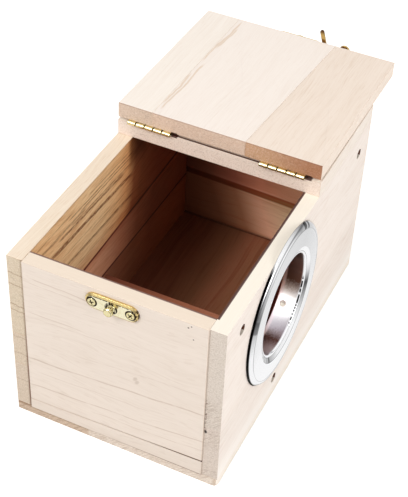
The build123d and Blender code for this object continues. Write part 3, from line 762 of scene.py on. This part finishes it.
def right_edge_marks(g, x, y, z, n):
    """The entrance wall's cut front edge: slanting saw marks, a row of dark pits by the latch end, and
    painted shade beside the latch end. Its outer face is paler towards its foot; its top is paler
    as painted light, with a painted shade line along the inner rim."""
    cut = x.below(LATCH_END + 0.3)
    g.paint(z.fall(6, 26) * n[1].below(-0.7) * (1 - cut) * 0.75, "FFF9F2")
    saw = g.noise((y + z) * 1.6, (z - y) * 0.12, 1, 1)
    rough = z.band(34, 60, 8).most(z.fall(9, 16))
    g.tint(saw.rise(0.5, 0.58) * rough * cut * 0.3, "B49C8C")
    pits = g.noise(y * 0.8, z * 0.9, 9, 1).rise(0.5, 0.56)
    beside = (y + INNER_HALF + 0.5).size().fall(0.4, 0.9)
    g.paint(beside * z.band(41, 62, 3) * pits * cut * 0.7, "5A3A2C")
    g.paint(length(y + INNER_HALF + 1, (z - 40) * 0.7).fall(0.5, 0.95) * cut * 0.95, "120C0A")
    # Painted shade beside the latch end's proud edge.
    g.tint((y + INNER_HALF).size().fall(0.2, 0.8) * cut * 0.3, "B49C88")
    # The top face lighter: painted light.
    g.paint(n[2].above(0.7) * 0.7, "FFF8E8")
    # A dark line along the inner rim: painted shade.
    rim = (y + INNER_HALF).rise(-1.5, -1) * z.above(WALL_TOP - 0.9)
    g.paint(rim * x.band(LATCH_FACE + BOARD - 0.2, ROOF_FRONT, 0.5) * 0.95, "46160A")


def floor_edge_marks(g, x, y, z, n):
    """The bottom board's cut front edge: slanting saw marks, browner towards the blind wall. Its side
    under the entrance wall is paler."""
    g.paint(n[1].below(-0.7) * 0.8, "FFF6EC")
    cut = x.below(LATCH_END + 0.5)
    saw = g.noise((y + z * 1.2) * 1.1, (z - y) * 0.08, 3, 1)
    browner = y.rise(15, 17)
    g.tint(browner * cut * 0.7, "DCCAB6")
    g.tint(z.rise(FLOOR_TOP - 2.2, FLOOR_TOP - 0.8) * browner * cut * 0.6, "B09880")
    g.tint(saw.rise(0.49, 0.58) * cut * 0.4, "BCA896")


def recess_painted_shade(g, x, y, z):
    """Painted shade at the open end of each hinge's recess."""
    for start in HINGES.values():
        recess = y.band(start - 2.8, start, 0.9) * (z - HINGE_Z).size().below(1.6)
        g.paint(recess * x.below(ROOF_FRONT + 3) * 0.92, "42150A")


def hinge_line_painted_shade(g, x, y, z, n):
    """Painted shade on the roof along the hinge line, in the gap under the lid, and at the recess ends."""
    line = x.band(ROOF_FRONT + 0.8, ROOF_FRONT + 1.6, 0.4) * n[2].above(0.3)
    g.paint(line * y.band(HINGES["ring_side"], HINGES["plain_side"], 1.5) * 0.95, "5A2A10")
    recess_painted_shade(g, x, y, z)


def lid_edge_marks(g, x, y, z, n):
    """The lid's cut edge by the hinges has a thin brown line along its top, and painted shade at the
    hinges' recess ends. On top are a few honey-coloured grain lines beside the plain-side seam."""
    wobble = (g.noise(x * 0.06, y * 0.1, 4) - 0.5) * 5
    lines = ((24, 37, 74, 35.6), (30, 38.6, 62, 38), (80, 38, 128, 36.5), (96, 36.4, 120, 35.4))
    lines = [(*ends, 0.8, 0.45) for ends in lines]
    draw(g, x, y, lines, wobble, n[2].above(0.7), "DCC4A4")
    top = LID_LOW + LID_THICK - (x - HINGE_X) * math.sin(LID_SAG)
    g.tint((top - z).size().fall(0.1, 0.7) * x.below(ROOF_FRONT + 0.5) * 0.4, "9A6A48")
    recess_painted_shade(g, x, y, z)


def brown_end(g, x, y, z, n):
    """The ring-side lid stave's end grain: tan by the middle stave, browner towards the edge."""
    g.tint(n[0].size().above(0.6) * y.fall(-58, -18) * 0.75, "C09A86")


def steel():
    """Pressed chromed steel. Each part of the pressing has its own run of tones round the ring: painted
    reflections of its surroundings. Dark lines in the creases are partly dirt and partly painted shade,
    and a painted shadow lies where the roll meets the wall."""
    g = Graph(bpy.data.materials.new("chromed_steel"))
    x, y, z = g.place()
    r, rise = length(x - RING_X, z - RING_Z), y * -1 - HALF_WIDTH
    scratches = g.noise(x * 0.7, y * 5, z * 0.7, 3, 0.7)
    fine = g.noise(x * 0.9, y * 1.6, z * 0.9, 2, 0.6)
    turn = g.maths("ARCTAN2", z - RING_Z, x - RING_X) * (0.5 / math.pi) + 0.5
    # Degrees from the closed end's side, anticlockwise as seen from outside
    angle = turn * 360 - 180
    # Painted reflections: each part's run of tones round the ring.
    flat = run(g, angle, (-180, 240), (-165, 250), (-130, 252), (-90, 250), (-30, 240), (60, 210),
               (180, 240))
    step = run(g, angle, (-180, 235), (-150, 235), (-135, 150), (-120, 176), (-100, 240), (-60, 252),
               (-45, 226), (-15, 60), (0, 220), (12, 252), (60, 252), (95, 222), (180, 235))
    roll = run(g, angle, (-180, 250), (-120, 250), (-60, 240), (30, 222), (60, 190), (75, 160),
               (90, 226), (105, 250), (120, 244), (150, 120), (165, 215), (180, 250))
    lip = run(g, angle, (-180, 236), (-135, 250), (-80, 252), (30, 250), (60, 240), (105, 226),
              (180, 236))
    sleeve = run(g, angle + (fine - 0.5) * 14.4, (-180, "C8C0C4"), (-150, "8A7470"), (-120, "C8C0C0"),
                 (-105, "B8ACAC"), (-90, "60423A"), (-75, "CCC4CE"), (-45, "FFFFFF"), (-30, "FFFFFF"),
                 (-15, "745648"), (40, "806A62"), (98, "6A5450"), (120, "807076"), (180, "C8C0C4"))
    g.tone = g.mix(r.rise(LIP_EDGE, LIP_EDGE + 0.25), lip, step)
    g.paint(r.rise(STEP_EDGE, STEP_EDGE + 0.4), flat)
    g.paint(r.rise(FLAT_EDGE, FLAT_EDGE + 0.4), roll)
    inner, bore, rolled = rise.fall(0.3, 1.2), r.below(BORE + 0.6), r.above(FLAT_EDGE + 0.3)
    g.paint(inner * bore, sleeve)
    dashes = g.noise(turn * 110, 0, 0, 0).rise(0.44, 0.5)
    right_side = turn.band(0.33, 0.47, 0.02)
    upper_left = turn.rise(0.64, 0.7).most(turn.fall(0.02, 0.08)) * 0.6 + 0.2
    # Dark lines in the creases, partly dirt and partly painted shade; a dark outline on the step and dashes
    # on the lip's side are painted reflections.
    crease = (r.band(FLAT_EDGE - 0.1, FLAT_EDGE + 0.25, 0.25) * upper_left
              + r.band(LIP_EDGE - 0.05, LIP_EDGE + 0.3, 0.15) * 0.45)
    lip_side = rise.band(0.9, 1.5, 0.2) * r.below(BORE + 0.8) * dashes * right_side
    outline = r.band(STEP_EDGE - 0.1, STEP_EDGE + 0.2, 0.15) * (turn.band(0.14, 0.4, 0.04) * 0.45 + 0.15)
    g.paint((crease + outline) * rise.above(0.02) + lip_side, "1C1C1E")
    # Dark bars on the step and the roll: painted reflections.
    step_bars = turn.band(0.147, 0.156, 0.003).most(turn.band(0.092, 0.098, 0.003))
    step_bars = step_bars * r.band(LIP_EDGE + 0.1, STEP_EDGE + 0.1, 0.3)
    top_bars = turn.band(0.659, 0.666, 0.003).most(turn.band(0.676, 0.688, 0.003)) * rolled
    low_bar = turn.band(0.925, 0.944, 0.006) * rolled * 0.6
    g.paint(step_bars.most(top_bars).most(low_bar) * rise.above(0.4), "161618")
    # A black line where the roll meets the wall, heaviest at the lower left: painted shadow.
    low_left = turn.rise(0.8, 0.84).most(turn.fall(0.2, 0.24))
    seat = r.rise(ROLL_EDGE - 1.2, ROLL_EDGE - 0.9) * rise.fall(1.25, 1.6) * low_left
    thin = r.rise(ROLL_EDGE - 0.5, ROLL_EDGE - 0.2) * rise.fall(0.25, 0.5) * 0.5
    g.paint(seat.most(thin), "0A0808")
    # A pale band at the sleeve's inner end: painted reflection.
    g.paint((rise + SLEEVE).fall(1.6, 2.6) * r.below(BORE + 1.2) * 0.85, "F4E4EA")
    # A dark ring round one nail hole: painted shade.
    around = length(rise + NAIL_DEPTH, (turn - 0.375) * (2 * math.pi * BORE))
    g.paint(around.band(1.5, 2.1, 0.25) * bore * 0.8, "4A2A20")
    rough = scratches * 0.05 + 0.1 + inner * 0.22 + seat * 0.4
    return g.surface(Metallic=1, Roughness=rough, Normal=g.bump(scratches, 0.02, 0.2))


def brass(name, bright, deep, tarnish=0.35, marks=None):
    """Lacquered brass: bright, clouded deeper, with fine scratches; dark where the rub attribute says,
    which is dirt along rubbed edges and painted shade in the screws' crosses and at their rims.
    """
    g = Graph(bpy.data.materials.new(name))
    p = g.place()
    scratches = g.noise(p[0] * 0.9, p[1] * 5, p[2] * 0.9, 3, 0.7)
    cloud = g.noise(p[0] * 0.35, p[1] * 0.35, p[2] * 0.35, 3)
    g.tone = g.mix(cloud.rise(0.42, 0.7) * tarnish, bright, deep)
    # Dirt along rubbed edges, and painted shade in the screw crosses and round their rims.
    dirt_and_shade = g.rub()
    if marks:
        dirt_and_shade = marks(g, *p, dirt_and_shade, deep)
    g.paint(dirt_and_shade, (0.03, 0.014, 0.006, 1))
    rough = scratches * 0.08 + cloud * 0.08 + 0.12 + dirt_and_shade * 0.3
    return g.surface(Metallic=1, Roughness=rough, Normal=g.bump(scratches, 0.02, 0.2))


def plate_marks(height, level):
    """A latch plate's deeper gold sloping edge, with painted shade: a dark line inside the edge, dark
    rings round its screws and pin, and a dark end, by the distance from its middle line, screws and
    centre."""
    def marks(g, x, y, z, dirt_and_shade, deep):
        up = z - level
        out = length((y.size() - (PLATE_LENGTH - height) / 2).most(0), up)
        slope = out.rise(height / 2 - 1.35, height / 2 - 1)
        ticks = g.noise(y * 1.1, up * 0.2, 3, 1).rise(0.38, 0.5)
        # A dark line inside the sloping edge: painted shade.
        line = out.band(height / 2 - 1.5, height / 2 - 1.15, 0.15) * ticks * up.rise(-1, 1.5)
        screws = length(y.size() - PLATE_SCREW, up)
        # Painted shade round the screws and the pin.
        ring = screws.band(2.1, 2.95, 0.1).most(length(y, up).band(1.6, 3.3, 0.3) * ticks)
        # Painted shade at one end.
        end = slope * y.fall(-14.4, -11) * g.noise(y * 1.6, up * 0.8, 5, 1).rise(0.44, 0.56)
        g.paint(slope * 0.85, deep)
        return dirt_and_shade * 0.3 + line * 0.9 + ring.most(end * 0.9) * 1.1
    return marks


def tip_marks(g, x, y, z, dirt_and_shade, deep):
    """The lever's tip is worn brown."""
    g.paint((z - 133).rise(0, 3.4), (0.1, 0.045, 0.02, 1))
    return dirt_and_shade * 0.2


def finishes():
    """Every finish by the CAD node that it belongs to."""
    # The inside tones below hold painted light and painted shade; the dark beyond x 20 is the roof's painted
    # shadow.
    gold = ((-85, "FAD09C"), (-30, "FAD8A8"), (-12, "FAD6A4"), (4.5, "F2C48E"), (14.5, "E2A872"),
            (24.5, "8A5030"), (34.5, "743E22"), (60, "763924"), (95, "8A482E"))
    middle = ((-85, "ECB48C"), (-45, "F0B68E"), (-25, "F4BC98"), (14.5, "AA7054"), (34.5, "7A462E"),
              (54.5, "6A3622"), (95, "80442E"))
    lower = ((-85, "C88A60"), (-50, "C28660"), (-5.5, "92624A"), (14.5, "845038"), (34.5, "704028"),
             (54.5, "6E3822"), (95, "86482C"))
    # Dark streaks: from x, z, to x, z, width, depth
    streaks = ((-72, 91.8, 17, 86.6, 1.6, 0.85), (-66, 90, -18, 88.4, 0.7, 0.5),
               (-62, 97, 6, 93.6, 1.3, 0.8), (-50, 98.3, 15, 95, 0.8, 0.6),
               (-82, 100.8, -36, 99.6, 1.3, 0.55), (-52, 103.5, 18, 101.4, 0.8, 0.6),
               (-40, 101.2, 14, 99.4, 0.7, 0.6), (-30, 105.6, 16, 104.2, 0.6, 0.45),
               (-56, 75.4, 17, 72.2, 1.1, 0.75), (-50, 73.9, 10, 71.2, 0.5, 0.4),
               (-60, 83.5, -10, 81.6, 0.45, 0.35), (-30, 80, 14, 78.4, 0.45, 0.35),
               (-84, 106.5, -50, 106, 0.6, 0.4), (-45, 67.5, 12, 65, 0.55, 0.35))
    upper = inner_wall(*gold, contrast=0.75, streaks=streaks)
    pale = inner_plain((0, "F2D8B8"), (1, "F6E2C8"))
    # The divider's inside tone, darker towards the blind wall: painted shade.
    brown = inner_plain((0, "8C5440"), (0.5, "A66A50"), (1, "B87E64"))
    left, right, floor = [left_edge_marks], [drilled, right_edge_marks], [floor_edge_marks]
    front, foot, lid = [front_marks, seam_marks], [seam_marks, foot_painted_shade], [lid_edge_marks]
    # Each board: its grain's direction, face, line and end colours, seed, figure, inner face, marks
    boards = {
        "bottom_board": ("X", "EADCCE", "C8B29C", "E6D8CA", 1, 0.5, inner_floor, floor),
        "ring_wall_upper_stave": ("X", "F8EDE4", "D8C2B0", "D4C8BC", 2, 0.35, pale, right),
        "ring_wall_lower_stave": ("X", "F4E9E0", "D4BEAC", "D4C6BA", 3.3, 0.35, pale, right),
        "plain_wall_lower_stave": ("X", "F0E2D4", "D8BFA4", "D2C0AC", 4.1, 0.5, inner_wall(*lower), left),
        "plain_wall_middle_stave": ("X", "F2E4D4", "DCC2A4", "D4C2AC", 5.7, 0.5, inner_wall(*middle), left),
        "plain_wall_upper_stave": ("X", "F6E6D2", "DCC0A0", "D5C4AC", 6.2, 0.5, upper, left),
        "latch_end_upper_stave": ("Y", "E6D9CD", "CDBBAB", "E0D4C8", 7.9, 0.32, pale, front),
        "latch_end_lower_stave": ("Y", "E3D6CA", "CAB8A8", "E0D4C8", 8.4, 0.32, pale, foot),
        "closed_end_panel": ("Y", "EDDFD0", "D0B79C", "D6C2AC", 9.6, 0.5, inner_end),
        "fixed_roof": ("X", "F6EBE0", "DCC4AC", "F6E4D6", 10.2, 0.4, None, [hinge_line_painted_shade]),
        "nest_divider": ("Y", "C08058", "96583A", "A87C60", 11.5, 0.6, brown),
        "lid_plain_side_stave": ("X", "FFF6EC", "E4D0BE", "DEC6B2", 12.3, 0.26, None, lid),
        "lid_middle_stave": ("X", "FEF4EB", "E4D0C0", "E6CBB6", 13.8, 0.22, None, lid),
        "lid_ring_side_stave": ("X", "F8E9DB", "DCC4AC", "D6AC8A", 14.6, 0.36, None, [brown_end, *lid]),
    }
    bright, deep = (0.97, 0.9, 0.64, 1), (0.74, 0.54, 0.2, 1)
    table = {node: wood(node, *rest) for node, rest in boards.items()}
    table["entrance_ring"] = steel()
    for node, height, level in (("keeper_plate", KEEPER_HEIGHT, KEEPER_Z),
                                ("latch_plate", LID_PLATE_HEIGHT, LID_PLATE_Z)):
        table[node] = brass(f"{node}_brass", bright, deep, 0.2, plate_marks(height, level))
    table["latch_lever"] = brass("lever_brass", (0.62, 0.44, 0.16, 1), (0.4, 0.24, 0.07, 1), 0.6, tip_marks)
    # The pins are painted near black: painted shade in the gaps between knuckles.
    pin_shade = brass("pin_shade_brass", (0.2, 0.12, 0.04, 1), (0.08, 0.04, 0.02, 1))
    table["hinge_plain_side_pin"] = table["hinge_ring_side_pin"] = pin_shade
    return table


def finish_all():
    """Gives every piece, and the CAD node behind it, its finish."""
    table = finishes()
    common = brass("light_brass", (0.9, 0.8, 0.46, 1), (0.62, 0.42, 0.14, 1))
    for piece in [p for p in bpy.data.objects if p.type == "MESH"]:
        stands = list(piece.get("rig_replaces", [])) or [piece.get("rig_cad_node")]
        piece.data.materials.clear()
        piece.data.materials.append(table.get(stands[0], common))


# Floor, light and camera

def stage_floor():
    """A plain pale floor. Seen directly it is white, with the box's shadow; polished metal sees it
    white too, but with a painted shadow close to the box, and dim far away."""
    bpy.ops.mesh.primitive_plane_add(size=6, location=(0, 0, -0.0002))
    floor = bpy.context.object
    floor.name = "floor"
    g = Graph(bpy.data.materials.new("pale_floor"))
    x, y, _ = g.place()
    lit = g.node("BsdfDiffuse", {"Color": (0.9, 0.9, 0.9, 1)})
    glow = g.node("Emission", {"Color": (1, 1, 1, 1), "Strength": 0.45})
    both = g.node("AddShader", {0: lit, 1: glow})
    # Seen by polished metal only: a painted shadow round the box's foot, and dimmer far away.
    beside = length((x.size() - CLOSED_END).most(0), (y.size() - HALF_WIDTH).most(0))
    g.tone = run(g, beside.rise(0, 8), (0, "787876"), (1, "FAFAFA"))
    g.paint(length(x, y).rise(350, 1100), "B4B4B6")
    mirrored = g.node("Emission", {"Color": g.tone, "Strength": 1})
    path = g.node("LightPath", out="Is Camera Ray")
    shine = g.node("LightPath", out="Is Glossy Ray")
    seen = g.node("MixShader", {0: path, 1: lit, 2: both})
    floor.data.materials.append(g.finish(g.node("MixShader", {0: shine, 1: seen, 2: mirrored})))


def studio_world():
    """White to the camera, a soft light elsewhere; polished metal sees white above a grey horizon."""
    world = bpy.data.worlds.new("studio")
    bpy.context.scene.world = world
    g = Graph(world)
    height = g.parted(g.node("TexCoord", out="Generated"))[2]
    soft = g.node("Background", {"Color": (1, 0.98, 0.96, 1), "Strength": 0.54})
    white = g.node("Background", {"Color": (1, 1, 1, 1), "Strength": 1})
    sky = run(g, height.rise(0.02, 0.22), (0, "9C9C9E"), (1, "FFFFFF"))
    tent = g.node("Background", {"Color": sky})
    shine = g.node("MixShader", {0: g.node("LightPath", out="Is Glossy Ray"), 1: soft, 2: tent})
    seen = g.node("LightPath", out="Is Camera Ray")
    g.finish(g.node("MixShader", {0: seen, 1: shine, 2: white}), "OutputWorld")


def lamp(name, place, size, power):
    """A square soft box at a place in metres, aimed at the box."""
    data = bpy.data.lights.new(name, "AREA")
    data.size, data.energy = size, power
    thing = bpy.data.objects.new(name, data)
    ahead = LAMP_AIM - place
    thing.matrix_world = look(place, ahead / np.linalg.norm(ahead))
    bpy.context.scene.collection.objects.link(thing)


def look(place, ahead, roll=0):
    """A matrix that looks ahead from a place, with its top up, rolled about its view."""
    right = np.cross(ahead, Z)
    right /= np.linalg.norm(right)
    up = np.cross(right, ahead)
    side = math.cos(roll) * right + math.sin(roll) * up
    top = math.cos(roll) * up - math.sin(roll) * right
    matrix = np.eye(4)
    matrix[:3] = np.stack([side, top, -ahead, place], 1)
    return Matrix(matrix.tolist())


def camera():
    """The photograph's viewpoint."""
    heading, dip, roll = np.radians([23.46, 41.28, 3.06])
    level = np.array([math.cos(heading), math.sin(heading), 0])
    ahead = math.cos(dip) * level - math.sin(dip) * Z
    data = bpy.data.cameras.new("camera")
    data.sensor_fit, data.sensor_height, data.lens = "VERTICAL", 36, 91.48
    data.clip_start, data.clip_end = 0.01, 50
    thing = bpy.data.objects.new("camera", data)
    thing.matrix_world = look((-0.4823, -0.2123, 0.5273), ahead, roll)
    bpy.context.scene.collection.objects.link(thing)
    bpy.context.scene.camera = thing


floor_and_walls()
lid_staves()
ring_wall_staves()
entrance_ring()
keeper()
latch()
hinges()
finish_all()

bpy.context.scene.view_settings.view_transform = "Standard"
stage_floor()
studio_world()
lamp("key", (-1.25, 0.46, 1.39), 0.7, 15.6)
lamp("fill", (-0.38, -1.62, 1.01), 1.1, 13.5)
camera()
